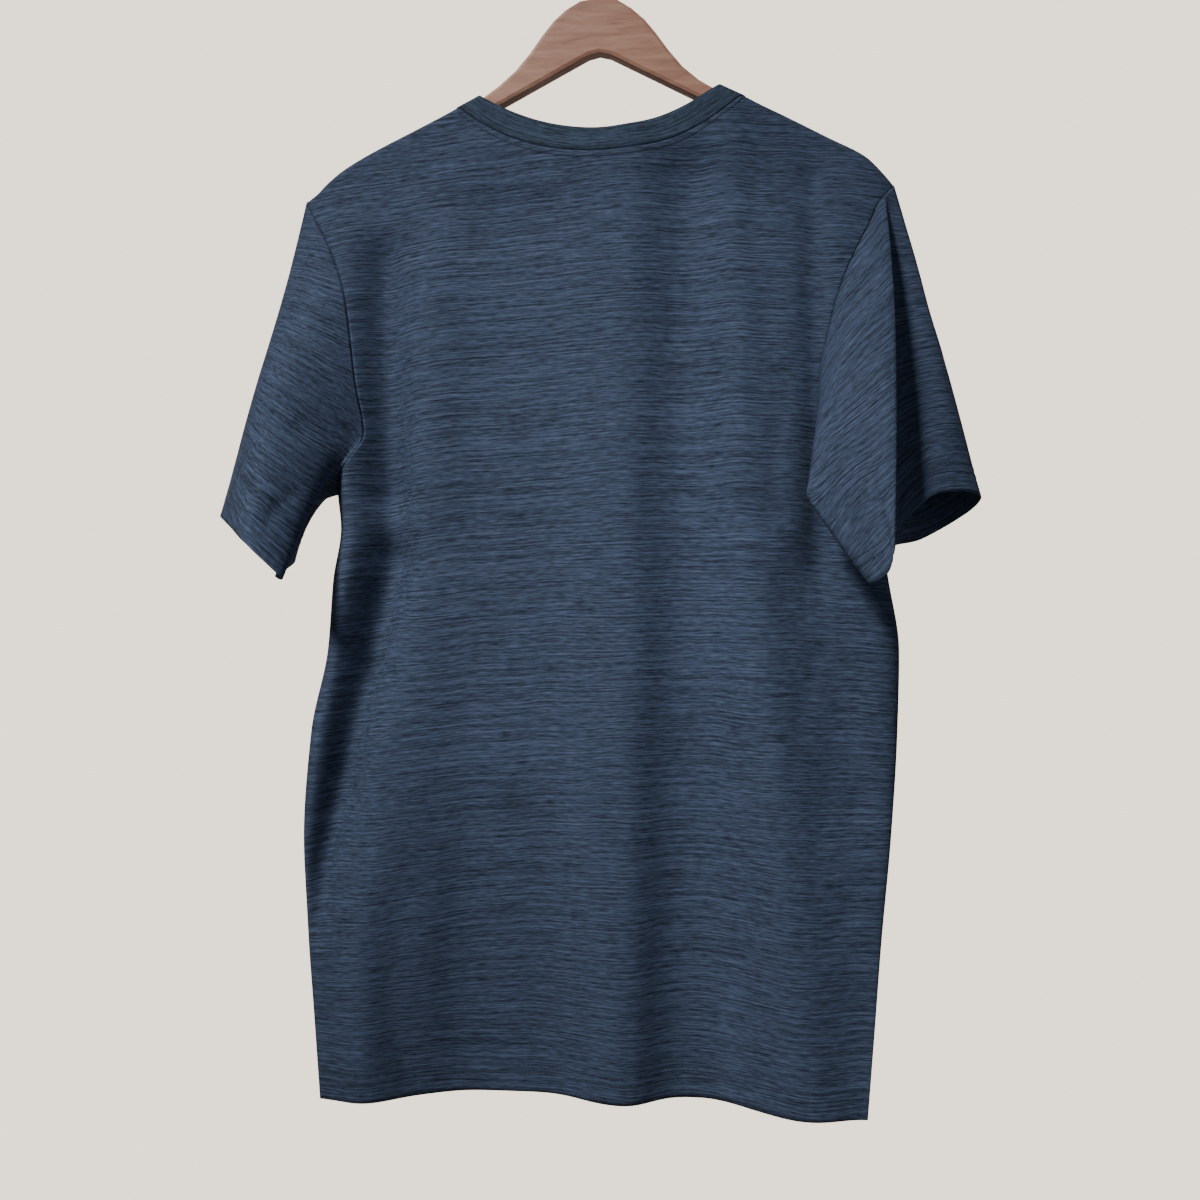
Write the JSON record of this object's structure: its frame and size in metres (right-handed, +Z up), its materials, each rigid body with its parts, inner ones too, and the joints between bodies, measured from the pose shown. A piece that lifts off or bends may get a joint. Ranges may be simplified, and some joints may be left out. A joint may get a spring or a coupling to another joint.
{
  "type": "t-shirt on a wooden hanger",
  "caption": "Short-sleeved crew-neck t-shirt of heathered slate-blue jersey, hanging on a flat wooden hanger with a wire hook, seen from its back.",
  "frame": {"origin": "inside top of the hook, where a rail or a nail holds it", "axes": "+Z up, -Y out of the garment's back, +Y out of its front, +X towards the wearer's right"},
  "size_m": [0.5522, 0.1385, 0.8641],
  "materials": {
    "jersey": "matte heathered jersey",
    "rib": "matte fine rib",
    "wood": "satin lacquer",
    "wire": "bright plated steel"
  },
  "bodies": {
    "root": {"back": "jersey", "front": "jersey", "sleeve_left": "jersey", "sleeve_right": "jersey", "collar": "rib", "hanger": "wood", "hook": "wire"}
  },
  "joints": []
}
